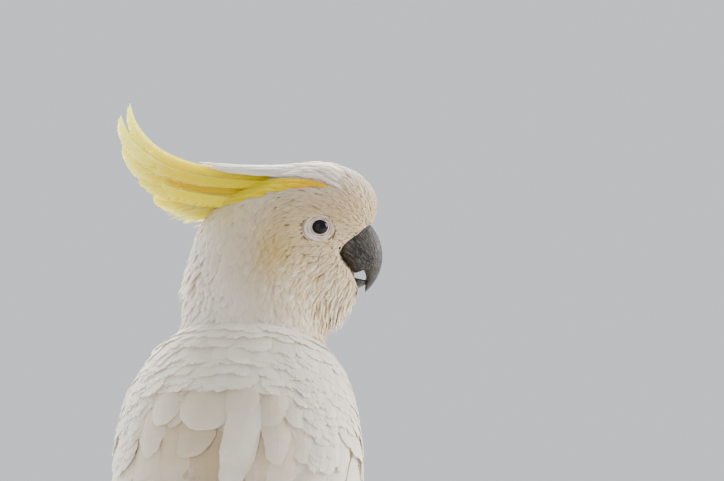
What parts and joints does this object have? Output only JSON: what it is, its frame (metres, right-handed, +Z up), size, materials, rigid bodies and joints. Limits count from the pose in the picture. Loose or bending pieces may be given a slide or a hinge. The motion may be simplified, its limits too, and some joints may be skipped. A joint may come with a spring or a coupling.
{
  "type": "sulphur-crested cockatoo",
  "caption": "Life-size still model of a white cockatoo standing and looking back over its right shoulder, yellow crest half raised, with wings folded.",
  "frame": {"origin": "on the floor under the middle of the model's box", "axes": "+Z up; the body faces +Y and the tail points to -Y; +X is the bird's own right, the way the head looks"},
  "size_m": [0.1658, 0.3276, 0.3694],
  "materials": {
    "white_feathers": "soft matt white plumage",
    "yellow_feathers": "soft matt sulphur-yellow plumes",
    "bill": "charcoal horn with a dusty bloom",
    "eye": "wet, near-black brown",
    "leg_skin": "scaly dark grey skin",
    "claw": "dark horn"
  },
  "bodies": {
    "root": {"head": "white_feathers", "neck": "white_feathers", "trunk": "white_feathers", "bill_upper": "bill", "bill_lower": "bill", "eye_left": "eye", "eye_right": "eye", "crest_hood": "white_feathers", "crest": "yellow_feathers", "tail": "white_feathers", "wing_left": "white_feathers", "primaries_left": "white_feathers", "thigh_left": "white_feathers", "shank_left": "leg_skin", "foot_left": "leg_skin", "claw_left_inner_front": "claw", "claw_left_outer_front": "claw", "claw_left_outer_back": "claw", "claw_left_inner_back": "claw", "wing_right": "white_feathers", "primaries_right": "white_feathers", "thigh_right": "white_feathers", "shank_right": "leg_skin", "foot_right": "leg_skin", "claw_right_inner_front": "claw", "claw_right_outer_front": "claw", "claw_right_outer_back": "claw", "claw_right_inner_back": "claw"}
  },
  "joints": []
}
